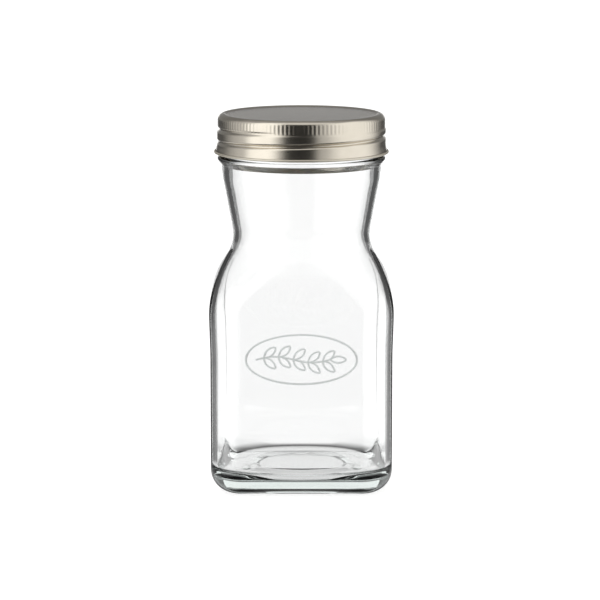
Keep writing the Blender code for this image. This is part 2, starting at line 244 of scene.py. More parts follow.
# The light tent round it, seen by glass and metal only. Azimuths are degrees from the camera's
# side, positive to its right, and elevations are degrees above the horizon. Columns: azimuth, half
# width, edge softness, low elevation, high elevation, edge softness, brightness. The brightest
# panel shows where some overlap, and TENT_DARK where none lies.
TENT_RADIUS = 0.56
TENT_SUBDIVISIONS = 5
TENT_DARK = 0.03
TENT_PANELS = (
    # The cloth behind, and a lighter ceiling all round
    (180.0, 110.0, 20.0, 5.0, 100.0, 10.0, 0.23),
    (180.0, 180.0, 30.0, 48.0, 100.0, 20.0, 0.42),
    # Low behind the sweep
    (180.0, 90.0, 30.0, -40.0, 10.0, 10.0, 0.10),
    (180.0, 90.0, 30.0, -40.0, -11.0, 10.0, 0.24),
    # To the camera's left
    (-55.0, 25.0, 26.0, -25.0, 70.0, 14.0, 1.7),
    (-80.0, 34.0, 60.0, -25.0, 60.0, 20.0, 0.75),
    # To the camera's right
    (75.0, 42.0, 50.0, -25.0, 60.0, 20.0, 1.35),
    (40.0, 20.0, 14.0, -25.0, 70.0, 14.0, 0.7),
    # High in front
    (0.0, 90.0, 30.0, 55.0, 100.0, 15.0, 1.0),
    # Below the table, all round and behind
    (0.0, 200.0, 1.0, -100.0, -20.0, 8.0, 0.2),
    (180.0, 100.0, 20.0, -100.0, -20.0, 8.0, 0.85),
)

# The paper floor and the softbox overhead
FLOOR_RADIUS = 9.0
FLOOR_SEGMENTS = 96
KEY_WIDTH = 1.6
KEY_DEPTH = 1.2
KEY_PLACE = (-0.35, -0.30, 1.5)


def linear(hex_colour):
    """Linear red, green and blue of an sRGB hex colour such as "#B9B3A6"."""
    channels = [int(hex_colour[place:place + 2], 16) / 255 for place in (1, 3, 5)]
    return tuple(c / 12.92 if c <= 0.04045 else ((c + 0.055) / 1.055) ** 2.4 for c in channels)


def distance(name, default, description):
    """A length that a user may change, in metres."""
    kind = {"min": 0.0, "precision": 5, "subtype": "DISTANCE", "unit": "LENGTH"}
    return bpy.props.FloatProperty(name=name, default=default, description=description, **kind)


def colour(name, hex_colour, description):
    """A colour that a user may change."""
    kind = {"default": linear(hex_colour), "size": 3, "min": 0.0, "max": 1.0, "subtype": "COLOR"}
    return bpy.props.FloatVectorProperty(name=name, description=description, **kind)


def share(name, default, description):
    """A number from 0 to 1 that a user may change."""
    kind = {"min": 0.0, "max": 1.0, "subtype": "FACTOR"}
    return bpy.props.FloatProperty(name=name, default=default, description=description, **kind)


class GlassSettings(bpy.types.PropertyGroup):
    """Sizes and colours of the glass bottle."""

    body_width: distance("Body width", 0.0749, "Width of the square body across its flat panels")
    corner_radius: distance("Corner radius", 0.0135, "Radius of the upright corners, outside")
    heel_radius: distance("Heel radius", 0.0098, "Radius between the panels and the base, outside")
    wall: distance("Wall", 0.0024, "Thickness of the glass in the body and neck")
    floor: distance("Floor", 0.0070, "Height of the inner floor above the table")
    inner_corner_radius: distance(
        "Inner corner radius", 0.0111, "Radius of the upright corners, inside"
    )
    inner_heel_radius: distance(
        "Inner heel radius", 0.0065, "Radius between wall and floor, inside"
    )
    relief: distance("Relief", 0.00040, "Height of the sprig and oval above the front panel")
    surface: colour("Surface colour", "#FFFFFF", "What one wall of the glass lets through")
    depth: colour("Depth colour", "#BECFC9", "The green-grey that long paths in the glass take on")
    density: bpy.props.FloatProperty(
        name="Absorption", default=9.0, min=0.0, description="How fast the glass darkens, per metre"
    )


class LidSettings(bpy.types.PropertyGroup):
    """Sizes and colours of the lid and its liner."""

    teeth: bpy.props.IntProperty(
        name="Knurl teeth", default=126, min=12, description="Teeth round the band"
    )
    knurl_depth: distance("Knurl depth", 0.00008, "How far the teeth are pressed into the band")
    tin: colour("Tinplate colour", "#D2CBBE", "The warm grey of lacquered tinplate")
    tin_shade: colour("Tinplate shade", "#C3BCAE", "Its darker patches")
    lacquer: colour("Inner lacquer", "#D6CFC0", "The clear coat over the tin inside the lid")
    foam: colour("Foam colour", "#EAE7DC", "The liner's foamed plastic")
    roughness: share("Tinplate roughness", 0.21, "How far the satin finish blurs reflections")


class StageSettings(bpy.types.PropertyGroup):
    """Light and floor of the studio."""

    floor: colour("Floor colour", "#EDEDEC", "Matt white paper")
    floor_glow: share("Floor glow", 0.74, "How much of its white the floor gives by itself")
    sky: share("Sky strength", 0.45, "Light that the surroundings give to matt surfaces")
    key_power: bpy.props.FloatProperty(
        name="Key power", default=9.0, min=0.0, unit="POWER", description="The softbox overhead"
    )


def smooth_share(value, low, high):
    """An easy rise from 0 at low to 1 at high."""
    place = min(max((value - low) / (high - low), 0.0), 1.0)
    return place * place * (3 - 2 * place)


def helix_share(azimuth, height, start, half_width, runs):
    """How strongly a right-hand helix marks this place on a round wall, from 0 to 1.

    It makes THREAD_TURNS turns. start is its first azimuth in degrees and its height there, and
    runs are the angles in degrees over which it rises at its low end and fades at its high end.
    """
    first = math.radians(start[0])
    last = first + FULL_TURN * THREAD_TURNS
    run_in, run_out = (math.radians(run) for run in runs)
    strongest = 0.0
    angle = first + (azimuth - first) % FULL_TURN
    while angle <= last:
        off_centre = abs(height - start[1] - THREAD_PITCH * (angle - first) / FULL_TURN)
        if off_centre < half_width:
            ends = smooth_share(angle, first, first + run_in)
            ends *= smooth_share(last - angle, 0.0, run_out)
            strongest = max(strongest, ends * (1 + math.cos(math.pi * off_centre / half_width)) / 2)
        angle += FULL_TURN
    return strongest


def bend_reaches(corners):
    """How far each bend of an outline reaches along the runs beside it, and its turn in radians."""
    points = [Vector((radius, 0.0, height)) for radius, height, _ in corners]
    turns = [0.0] * len(corners)
    reaches = [0.0] * len(corners)
    for index in range(1, len(corners) - 1):
        if corners[index][2] > 0:
            arriving = points[index] - points[index - 1]
            turns[index] = arriving.angle(points[index + 1] - points[index])
            reaches[index] = corners[index][2] * math.tan(turns[index] / 2)
    for index in range(len(corners) - 1):
        run = (points[index + 1] - points[index]).length
        both = reaches[index] + reaches[index + 1]
        if both > run:
            reaches[index] *= run / both
            reaches[index + 1] *= run / both
    return points, turns, reaches


def bend_outline(shape, corners):
    """Draw a wire through corners (radius, height, bend radius) and return its vertices in order.

    Each bend is one vertex spun round the bend's centre.
    """
    points, turns, reaches = bend_reaches(corners)
    wire = []
    for index, corner in enumerate(points):
        if turns[index] == 0:
            wire.append([shape.verts.new(corner)])
            continue
        back = (points[index - 1] - corner).normalized()
        ahead = (points[index + 1] - corner).normalized()
        bend_radius = reaches[index] / math.tan(turns[index] / 2)
        centre = corner + (back + ahead).normalized() * bend_radius / math.cos(turns[index] / 2)
        side = math.copysign(1.0, back.cross(-ahead).y)
        steps_by_angle = math.degrees(turns[index]) / BEND_STEP_DEGREES
        steps_by_length = bend_radius * turns[index] / OUTLINE_STEP
        first = shape.verts.new(corner + back * reaches[index])
        before = set(shape.verts)
        bmesh.ops.spin(
            shape,
            geom=[first],
            cent=centre,
            axis=(0.0, side, 0.0),
            angle=turns[index],
            steps=max(LEAST_BEND_STEPS, math.ceil(max(steps_by_angle, steps_by_length))),
        )
        wire.append([first] + [vert for vert in shape.verts if vert not in before])
    for run, following in zip(wire, wire[1:]):
        shape.edges.new((run[-1], following[0]))
    return [vert for run in wire for vert in run]


def divide_runs(shape, edges, step_of):
    """Cut each straight run into even pieces no longer than step_of gives for it."""
    for edge in list(edges):
        cuts = math.ceil(edge.calc_length() / step_of(edge)) - 1
        if cuts > 0:
            bmesh.ops.subdivide_edges(shape, edges=[edge], cuts=cuts)


def turn_wire(shape, steps):
    """Spin the shape's wire once round the bottle's axis and close the seam and the poles."""
    bmesh.ops.spin(
        shape,
        geom=list(shape.verts) + list(shape.edges),
        cent=(0.0, 0.0, 0.0),
        axis=(0.0, 0.0, 1.0),
        angle=FULL_TURN,
        steps=steps,
        use_merge=True,
    )
    bmesh.ops.remove_doubles(shape, verts=shape.verts, dist=MERGE_DISTANCE)


def turned_surface(corners, steps, step_of):
    """Draw an outline through corners, cut its runs and turn it once round the bottle's axis."""
    shape = bmesh.new()
    bend_outline(shape, corners)
    divide_runs(shape, shape.edges, step_of)
    turn_wire(shape, steps)
    return shape


def join_shapes(shape, other):
    """Add another shape's surface to this one and weld the edges they share."""
    carrier = bpy.data.meshes.new("carrier")
    other.to_mesh(carrier)
    other.free()
    shape.from_mesh(carrier)
    bpy.data.meshes.remove(carrier)
    bmesh.ops.remove_doubles(shape, verts=shape.verts, dist=MERGE_DISTANCE)


def azimuth_of(vert):
    """The vertex's azimuth from +X, from 0 to a full turn."""
    return math.atan2(vert.co.y, vert.co.x) % FULL_TURN


def move_out(vert, distance_out):
    """Move a vertex straight away from the bottle's axis."""
    radius = math.hypot(vert.co.x, vert.co.y)
    vert.co.x *= 1 + distance_out / radius
    vert.co.y *= 1 + distance_out / radius


def square_vertex(vert, corner_radius, square_share):
    """Move a vertex of a turned wall square_share of the way to a square with round corners."""
    half_width = math.hypot(vert.co.x, vert.co.y)
    corner_radius = min(corner_radius, half_width)
    quarter, place = divmod(azimuth_of(vert) / (FULL_TURN / 4), 1.0)
    flat = half_width - corner_radius
    if place < FLAT_SHARE:
        point = Vector((half_width, flat * place / FLAT_SHARE))
    elif place > 1 - FLAT_SHARE:
        point = Vector((flat * (1 - place) / FLAT_SHARE, half_width))
    else:
        angle = (place - FLAT_SHARE) / (1 - 2 * FLAT_SHARE) * FULL_TURN / 4
        across = corner_radius * math.cos(angle)
        along = corner_radius * math.sin(angle)
        point = Vector((flat + across, flat + along))
    point = Matrix.Rotation(quarter * FULL_TURN / 4, 2) @ point
    vert.co.x += (point.x - vert.co.x) * square_share
    vert.co.y += (point.y - vert.co.y) * square_share


def inset_corner(corner_radius, drawn_in):
    """The corner radius left where the wall has drawn in by this much from its full width."""
    return max(corner_radius - max(drawn_in, 0.0), corner_radius * LEAST_CORNER_SHARE)


def outer_corners(sizes):
    """Corners of the outside, from the middle of the underside up to the rim."""
    half = sizes.body_width / 2
    bearing = half - sizes.heel_radius - BEARING_WIDTH
    return [
        (0.0, PUNT_DEPTH + PUNT_STEP, 0.0),
        (PUNT_RADIUS - PUNT_STEP_WIDTH, PUNT_DEPTH + PUNT_STEP, PUNT_STEP_ROUND),
        (PUNT_RADIUS, PUNT_DEPTH, PUNT_STEP_ROUND),
        (bearing, 0.0, BEARING_ROUND),
        (half, 0.0, sizes.heel_radius),
        (half, PANEL_HEIGHT, PANEL_BLEND_RADIUS),
        (SHOULDER_HALF, PANEL_END, PANEL_BLEND_RADIUS),
        (SHOULDER_HALF, SHOULDER_LEVEL, SHOULDER_RADIUS),
        (WAIST_RADIUS, WAIST_LEVEL, WAIST_BEND_RADIUS),
        (FINISH_RADIUS, NECK_LEVEL, NECK_BEND_RADIUS),
        (FINISH_RADIUS, COLLAR_LEVEL, COLLAR_FILLET),
        (COLLAR_RADIUS, COLLAR_LEVEL + COLLAR_CHAMFER, COLLAR_ROUND),
        (COLLAR_RADIUS, COLLAR_TOP, COLLAR_ROUND),
        (FINISH_RADIUS, COLLAR_TOP, COLLAR_FILLET),
        (FINISH_RADIUS, RIM_LEVEL - RIM_ROUND, 0.0),
    ]


def inner_corners(sizes):
    """Corners of the rim and the inside, down to the middle of the floor."""
    half = sizes.body_width / 2 - sizes.wall
    shoulder = SHOULDER_HALF - sizes.wall
    return [
        (FINISH_RADIUS, RIM_LEVEL - RIM_ROUND, 0.0),
        (FINISH_RADIUS, RIM_LEVEL, RIM_ROUND),
        (MOUTH_RADIUS, RIM_LEVEL, RIM_ROUND),
        (MOUTH_RADIUS, NECK_LEVEL, NECK_BEND_RADIUS),
        (WAIST_RADIUS - sizes.wall, WAIST_LEVEL, WAIST_BEND_RADIUS),
        (shoulder, SHOULDER_LEVEL, SHOULDER_RADIUS),
        (shoulder, PANEL_END, PANEL_BLEND_RADIUS),
        (half, PANEL_HEIGHT, PANEL_BLEND_RADIUS),
        (half, sizes.floor, sizes.inner_heel_radius),
        (DOME_RADIUS, sizes.floor, DOME_ROUND),
        (PUNT_RADIUS, sizes.floor + DOME_RISE, DOME_ROUND),
        (0.0, sizes.floor + DOME_RISE, 0.0),
    ]


def glass_step(edge):
    """How finely a run of the glass outline is cut: finer where the thread lies."""
    low = min(vert.co.z for vert in edge.verts)
    narrow = min(vert.co.x for vert in edge.verts)
    on_finish = low > COLLAR_TOP - MERGE_DISTANCE and narrow > FINISH_RADIUS - MERGE_DISTANCE
    return THREAD_STEP if on_finish else OUTLINE_STEP


def shape_outside(shape, sizes):
    """Square the outside up below the waist and raise the thread on the mouth."""
    half = sizes.body_width / 2
    bearing = half - sizes.heel_radius - BEARING_WIDTH
    start = (THREAD_START_DEGREES, THREAD_START_LEVEL)
    runs = (THREAD_RUNOUT_DEGREES, THREAD_RUNOUT_DEGREES)
    for vert in shape.verts:
        radius = math.hypot(vert.co.x, vert.co.y)
        height = vert.co.z
        if height < WAIST_LEVEL and radius > 0:
            drawn_in = half - radius if height < sizes.heel_radius else 0.0
            square_share = 1 - smooth_share(height, PANEL_END, WAIST_LEVEL)
            if radius < bearing and height < sizes.heel_radius:
                square_share *= smooth_share(radius, PUNT_RADIUS, bearing)
            square_vertex(vert, inset_corner(sizes.corner_radius, drawn_in), square_share)
        elif height > COLLAR_TOP:
            ridge = helix_share(azimuth_of(vert), height, start, THREAD_HALF_WIDTH, runs)
            move_out(vert, THREAD_HEIGHT * ridge)


def shape_inside(shape, sizes):
    """Square the inside up below the waist; towards the floor it turns nearly round."""
    half = sizes.body_width / 2 - sizes.wall
    for vert in shape.verts:
        radius = math.hypot(vert.co.x, vert.co.y)
        height = vert.co.z
        if height > WAIST_LEVEL or radius == 0:
            continue
        drawn_in = half - radius if height < sizes.floor + sizes.inner_heel_radius else 0.0
        rise = smooth_share(height, sizes.floor, sizes.floor + INNER_ROUNDING_RISE)
        square_share = FLOOR_SQUARE_SHARE + (1 - FLOOR_SQUARE_SHARE) * rise
        square_share *= 1 - smooth_share(height, PANEL_END, WAIST_LEVEL)
        square_vertex(vert, inset_corner(sizes.inner_corner_radius, drawn_in), square_share)


def sprig_leaves():
    """The sprig's leaves, in pairs along the stem with one at its tip.

    Each is the x and z of its middle and its direction in radians.
    """
    leaves = []
    for pair in range(LEAF_PAIRS):
        along = STEM_START + 2 * STEM_HALF_LENGTH * (pair + 0.5) / LEAF_PAIRS
        for side in (-1, 1):
            direction = side * math.radians(LEAF_SPREAD_DEGREES)
            x = along + LEAF_LENGTH / 2 * math.cos(direction)
            z = stem_height(along) + LEAF_LENGTH / 2 * math.sin(direction)
            leaves.append((x, z, direction))
    leaves.append((STEM_END + LEAF_LENGTH / 2, stem_height(STEM_END), 0.0))
    return leaves


def stem_height(along):
    """The stem's easy wave, from its own middle line."""
    return STEM_WAVE * math.sin((along - STEM_START) / STEM_HALF_LENGTH * math.pi)


def line_distance(x, z, leaves):
    """The distance from a place on the panel to the nearest line of oval, stem or leaf."""
    value = (x / OVAL_HALF_WIDTH) ** 2 + (z / OVAL_HALF_HEIGHT) ** 2 - 1
    slope = 2 * math.hypot(x / OVAL_HALF_WIDTH ** 2, z / OVAL_HALF_HEIGHT ** 2)
    # The slope is nil in the oval's middle, far from its outline
    nearest = abs(value) / max(slope, 1.0)
    on_stem = min(max(x, STEM_START), STEM_END)
    nearest = min(nearest, math.hypot(x - on_stem, z - stem_height(on_stem)))
    for middle_x, middle_z, direction in leaves:
        along = (x - middle_x) * math.cos(direction) + (z - middle_z) * math.sin(direction)
        across = (z - middle_z) * math.cos(direction) - (x - middle_x) * math.sin(direction)
        place = 2 * along / LEAF_LENGTH
        if abs(place) < 1:
            edge = LEAF_WIDTH / 2 * (1 - place * place)
            lean = 2 * LEAF_WIDTH / LEAF_LENGTH * place
            nearest = min(nearest, abs(abs(across) - edge) / math.hypot(1.0, lean))
    return nearest


def raise_relief(shape, sizes):
    """Cut the front panel finely and raise the oval and the sprig on it."""
    half = sizes.body_width / 2
    middle = PANEL_HEIGHT
    wide = OVAL_HALF_WIDTH + PATCH_MARGIN
    high = OVAL_HALF_HEIGHT + PATCH_MARGIN

    def on_patch(face):
        place = face.calc_center_median()
        return (
            place.y < -half + sizes.wall / 2
            and abs(place.x) < wide
            and abs(place.z - middle) < high
        )

    def is_level(edge):
        return abs(edge.verts[0].co.z - edge.verts[1].co.z) < MERGE_DISTANCE

    for level_edges in (True, False):
        edges = {edge for face in shape.faces if on_patch(face) for edge in face.edges}
        chosen = [edge for edge in edges if is_level(edge) == level_edges]
        cuts = round(max(edge.calc_length() for edge in chosen) / RELIEF_CELL) - 1
        bmesh.ops.subdivide_edges(shape, edges=chosen, cuts=cuts, use_grid_fill=True)
    leaves = sprig_leaves()
    marks = shape.verts.layers.float.new(RELIEF_MARK)
    for vert in shape.verts:
        off_panel = vert.co.y > -half + sizes.wall / 2
        if off_panel or abs(vert.co.x) > wide or abs(vert.co.z - middle) > high:
            continue
        off_line = line_distance(vert.co.x, vert.co.z - middle, leaves)
        if off_line < RELIEF_LINE_HALF_WIDTH:
            raised = (1 + math.cos(math.pi * off_line / RELIEF_LINE_HALF_WIDTH)) / 2
            vert.co.y -= min(sizes.relief, SHOULDER_HALF + vert.co.y) * raised
            vert[marks] = raised


def finished_piece(shape, name, materials):
    """Turn a bmesh into a smooth piece at the origin with its materials."""
    mesh = bpy.data.meshes.new(name)
    shape.to_mesh(mesh)
    shape.free()
    for material in materials:
        mesh.materials.append(material)
    mesh.shade_smooth()
    piece = bpy.data.objects.new(name, mesh)
    bpy.context.scene.collection.objects.link(piece)
    return piece


def lid_skirt_swell(height):
    """How far the skirt stands outside the band: a little below it, and flared at the hem."""
    swell = smooth_share(BAND_END - height, 0.0, LID_SWELL_RUN)
    flare = smooth_share(HEM_LEVEL + LID_FLARE_RUN - height, 0.0, LID_FLARE_RUN)
    return LID_SKIRT_SWELL * swell + LID_FLARE * flare


def curl_hem(shape, last):
    """Roll the sheet's lower edge outwards as one spun bend."""
    centre = last.co + Vector((HEM_RADIUS, 0.0, 0.0))
    bmesh.ops.spin(
        shape,
        geom=[last],
        cent=centre,
        axis=(0.0, -1.0, 0.0),
        angle=math.radians(HEM_TURN_DEGREES),
        steps=HEM_STEPS,
    )


def draw_lid_sheet(shape, teeth):
    """Turn the lid's outline: recessed panel, bead, shoulder, band, skirt and curled hem."""
    step_end = BAND_RADIUS - LID_BEAD_WIDTH
    wire = bend_outline(shape, [
        (0.0, PANEL_LEVEL, 0.0),
        (step_end - LID_STEP_WIDTH - LID_BEAD_WIDTH, PANEL_LEVEL, 0.0),
        (step_end - LID_STEP_WIDTH, PANEL_LEVEL, LID_BEAD_ROUND),
        (step_end, BEAD_LEVEL, LID_BEAD_ROUND),
        (BAND_RADIUS, BEAD_LEVEL, LID_SHOULDER_ROUND),
        (BAND_RADIUS, HEM_LEVEL, 0.0),
    ])
    divide_runs(shape, wire[-1].link_edges, lambda edge: THREAD_STEP)
    for vert in shape.verts:
        if vert.co.z < BAND_END:
            vert.co.x += lid_skirt_swell(vert.co.z)
    curl_hem(shape, min(shape.verts, key=lambda vert: vert.co.z))
    turn_wire(shape, teeth * LID_STEPS_PER_TOOTH)


def press_lid(shape, sizes):
    """Press the knurl into the band and roll the thread into the skirt."""
    start = (LID_GROOVE_START_DEGREES, GROOVE_START_LEVEL)
    runs = (LID_GROOVE_RUN_IN_DEGREES, LID_GROOVE_RUN_OUT_DEGREES)
    band_top = BEAD_LEVEL - LID_SHOULDER_ROUND / 2
    half_step = FULL_TURN / sizes.teeth / LID_STEPS_PER_TOOTH / 2
    for vert in shape.verts:
        radius = math.hypot(vert.co.x, vert.co.y)
        height = vert.co.z
        if radius < BAND_RADIUS - LID_SHOULDER_ROUND or height < HEM_LEVEL:
            continue
        azimuth = azimuth_of(vert)
        # Half a step round, so that some vertices of each tooth lie high and as many lie low
        tooth = (1 - math.cos((azimuth + half_step) * sizes.teeth)) / 2
        window = smooth_share(height, BAND_END, BAND_END + KNURL_EDGE)
        window *= smooth_share(band_top - height, 0.0, KNURL_EDGE)
        inwards = sizes.knurl_depth * tooth * window
        if radius > GROOVE_RADIUS:
            groove = helix_share(azimuth, height, start, LID_GROOVE_HALF_WIDTH, runs)
            inwards += (radius - GROOVE_RADIUS) * groove
        move_out(vert, -inwards)


def liner_corners():
    """Corners of the liner's half section, from mid-top round to mid-underside."""
    low = LINER_LOW.z
    high = LINER_HIGH.z
    return [
        (0.0, high, 0.0),
        (LINER_RADIUS, high, LINER_EDGE_ROUND),
        (LINER_RADIUS, low, LINER_EDGE_ROUND),
        (FINISH_RADIUS + LINER_DENT_EDGE, low, LINER_EDGE_ROUND),
        (FINISH_RADIUS, low + LINER_DENT, LINER_EDGE_ROUND),
        (MOUTH_RADIUS, low + LINER_DENT, LINER_EDGE_ROUND),
        (MOUTH_RADIUS - LINER_DENT_EDGE, low, LINER_EDGE_ROUND),
        (0.0, low, 0.0),
    ]


def add_node(tree, kind, values=None, links=None, **settings):
    """Add a node with its settings, the values of its sockets and the outputs linked into them."""
    node = tree.nodes.new(kind)
    for name, value in settings.items():
        setattr(node, name, value)
    for socket, value in (values or {}).items():
        node.inputs[socket].default_value = value
    for socket, source in (links or {}).items():
        tree.links.new(source, node.inputs[socket])
    return node


def empty_material(name):
    """A node material with nothing in it but its output."""
    material = bpy.data.materials.new(name)
    material.use_nodes = True
    tree = material.node_tree
    tree.nodes.clear()
    return material, tree, add_node(tree, "ShaderNodeOutputMaterial")


def moulded_soda_lime_glass(sizes):
    """Soda-lime glass, pressed and blown in a mould.

    It is bright and faintly wavy, and green-grey only in the depth.
    """
    material, tree, output = empty_material("moulded_soda_lime_glass")
    place = add_node(tree, "ShaderNodeTexCoord").outputs["Object"]
    # Slow shallow waves, which the mould and the cooling leave
    wave = add_node(
        tree, "ShaderNodeTexNoise", {"Scale": 1 / GLASS_WAVE, "Detail": 1.0}, {"Vector": place}
    )
    bump = add_node(
        tree,
        "ShaderNodeBump",
        {"Strength": 1.0, "Distance": GLASS_WAVE_HEIGHT},
        {"Height": wave.outputs["Fac"]},
    )
    # Handling leaves a trace of haze in patches
    haze = add_node(
        tree, "ShaderNodeTexNoise", {"Scale": 1 / GLASS_HAZE, "Detail": 4.0}, {"Vector": place}
    )
    rough = add_node(
        tree,
        "ShaderNodeMapRange",
        {"From Min": 0.4, "From Max": 0.8, "To Min": 0.0, "To Max": 0.03},
        {"Value": haze.outputs["Fac"]},
    )
    # The lines cut into the mould leave the raised ones finely frosted, which their roughness
    # gives.
    # Their grey base colour is painted shade: it darkens the light that the glass lets through
    # there.
    raised = add_node(tree, "ShaderNodeAttribute", attribute_name=RELIEF_MARK)
    frost = add_node(
        tree,
        "ShaderNodeMapRange",
        {"From Max": 0.6, "To Max": RELIEF_FROST},
        {"Value": raised.outputs["Fac"], "To Min": rough.outputs["Result"]},
    )
    tint = add_node(
        tree,
        "ShaderNodeMix",
        {MIX_FIRST: (*sizes.surface, 1.0), MIX_SECOND: (*linear(RELIEF_PAINTED_SHADE), 1.0)},
        {MIX_SHARE: raised.outputs["Fac"]},
        data_type="RGBA",
    )
    shader = add_node(
        tree,
        "ShaderNodeBsdfPrincipled",
        {"IOR": 1.52, "Transmission Weight": 1.0},
        {
            "Base Color": tint.outputs[MIX_RESULT],
            "Roughness": frost.outputs["Result"],
            "Normal": bump.outputs["Normal"],
        },
    )
    depth = add_node(
        tree, "ShaderNodeVolumeAbsorption", {"Color": (*sizes.depth, 1.0), "Density": sizes.density}
    )
    tree.links.new(shader.outputs["BSDF"], output.inputs["Surface"])
    tree.links.new(depth.outputs["Volume"], output.inputs["Volume"])
    return material


def lacquered_tinplate(sizes):
    """Cold-rolled tinplate under a clear lacquer: satin warm grey with a fine straight grain."""
    material, tree, output = empty_material("lacquered_tinplate")
    place = add_node(tree, "ShaderNodeTexCoord").outputs["Object"]
    # The rolls leave fine lines along X
    grain_scale = (1 / TIN_GRAIN_LENGTH, 1 / TIN_GRAIN_SPACING, 1 / TIN_GRAIN_SPACING)
    stretched = add_node(tree, "ShaderNodeMapping", {"Scale": grain_scale}, {"Vector": place})
    grain = add_node(
        tree,
        "ShaderNodeTexNoise",
        {"Scale": 1.0, "Detail": 3.0},
        {"Vector": stretched.outputs["Vector"]},
    )
    bump = add_node(
        tree,
        "ShaderNodeBump",
        {"Strength": 0.4, "Distance": TIN_GRAIN_DEPTH},
        {"Height": grain.outputs["Fac"]},
    )
    # Tin crystals and the lacquer's flow shade it in patches
    patch = add_node(
        tree, "ShaderNodeTexNoise", {"Scale": 1 / TIN_PATCH, "Detail": 3.0}, {"Vector": place}
    )
    tint = add_node(
        tree,
        "ShaderNodeMix",
        {MIX_FIRST: (*sizes.tin, 1.0), MIX_SECOND: (*sizes.tin_shade, 1.0)},
        {MIX_SHARE: patch.outputs["Fac"]},
        data_type="RGBA",
    )
    rough = add_node(
        tree,
        "ShaderNodeMapRange",
        {
            "To Min": sizes.roughness - TIN_ROUGHNESS_SPREAD,
            "To Max": sizes.roughness + TIN_ROUGHNESS_SPREAD,
        },
        {"Value": grain.outputs["Fac"]},
    )
    shader = add_node(
        tree,
        "ShaderNodeBsdfPrincipled",
        {"Metallic": 1.0, "Coat Weight": 0.25, "Coat Roughness": 0.15},
        {
            "Base Color": tint.outputs[MIX_RESULT],
            "Roughness": rough.outputs["Result"],
            "Normal": bump.outputs["Normal"],
        },
    )
    tree.links.new(shader.outputs["BSDF"], output.inputs["Surface"])
    return material


def clear_epoxy_lacquer(sizes):
    """Clear epoxy lacquer, baked on the inside of the lid: warm pale grey, smoothly blurred."""
    material, tree, output = empty_material("clear_epoxy_lacquer")
    # The lacquer flows out in faint patches
    place = add_node(tree, "ShaderNodeTexCoord").outputs["Object"]
    flow = add_node(
        tree, "ShaderNodeTexNoise", {"Scale": 1 / LACQUER_PATCH, "Detail": 2.0}, {"Vector": place}
    )
    rough = add_node(
        tree, "ShaderNodeMapRange", {"To Min": 0.30, "To Max": 0.42}, {"Value": flow.outputs["Fac"]}
    )
    # The metal below still shows through the coat
    shader = add_node(
        tree,
        "ShaderNodeBsdfPrincipled",
        {"Base Color": (*sizes.lacquer, 1.0), "Metallic": 0.7},
        {"Roughness": rough.outputs["Result"]},
    )
    tree.links.new(shader.outputs["BSDF"], output.inputs["Surface"])
    return material


def foamed_polyethylene(sizes):
    """Extruded foamed polyethylene: pale, soft and matt, with closed cells under its skin."""
    material, tree, output = empty_material("foamed_polyethylene")
    place = add_node(tree, "ShaderNodeTexCoord").outputs["Object"]
    cells = add_node(tree, "ShaderNodeTexVoronoi", {"Scale": 1 / FOAM_CELL}, {"Vector": place})
    bump = add_node(
        tree,
        "ShaderNodeBump",
        {"Strength": 0.6, "Distance": FOAM_CELL_DEPTH},
        {"Height": cells.outputs["Distance"]},
    )
    cloud = add_node(
        tree, "ShaderNodeTexNoise", {"Scale": 1 / FOAM_CLOUD, "Detail": 2.0}, {"Vector": place}
    )
    shade = tuple(channel * FOAM_CLOUD_SHADE for channel in sizes.foam)
    tint = add_node(
        tree,
        "ShaderNodeMix",
        {MIX_FIRST: (*sizes.foam, 1.0), MIX_SECOND: (*shade, 1.0)},
        {MIX_SHARE: cloud.outputs["Fac"]},
        data_type="RGBA",
    )
    shader = add_node(
        tree,
        "ShaderNodeBsdfPrincipled",
        {"Roughness": 0.6, "Subsurface Weight": 0.15, "Subsurface Scale": 0.0008},
        {"Base Color": tint.outputs[MIX_RESULT], "Normal": bump.outputs["Normal"]},
    )
    tree.links.new(shader.outputs["BSDF"], output.inputs["Surface"])
    return material


def seen_white(tree):
    """1 for the rays that see paper and surroundings at their full white and 0 for others."""
    path = add_node(tree, "ShaderNodeLightPath")
    result = path.outputs["Is Camera Ray"]
    for kind in ("Is Glossy Ray", "Is Transmission Ray"):
        result = add_node(
            tree, "ShaderNodeMath", None, {0: result, 1: path.outputs[kind]}, operation="MAXIMUM"
        ).outputs[0]
    return result


def matt_white_paper(sizes):
    """A roll of matt white paper: it glows white and still takes the bottle's shadow."""
    material, tree, output = empty_material("matt_white_paper")
    seen = seen_white(tree)
    strength = add_node(
        tree, "ShaderNodeMath", {1: sizes.floor_glow}, {0: seen}, operation="MULTIPLY"
    )
    glow = add_node(tree, "ShaderNodeEmission", None, {"Strength": strength.outputs[0]})
    paper = add_node(tree, "ShaderNodeBsdfDiffuse", {"Color": (*sizes.floor, 1.0)})
    both = add_node(tree, "ShaderNodeAddShader", None, {0: glow.outputs[0], 1: paper.outputs[0]})
    tree.links.new(both.outputs[0], output.inputs["Surface"])
    return material


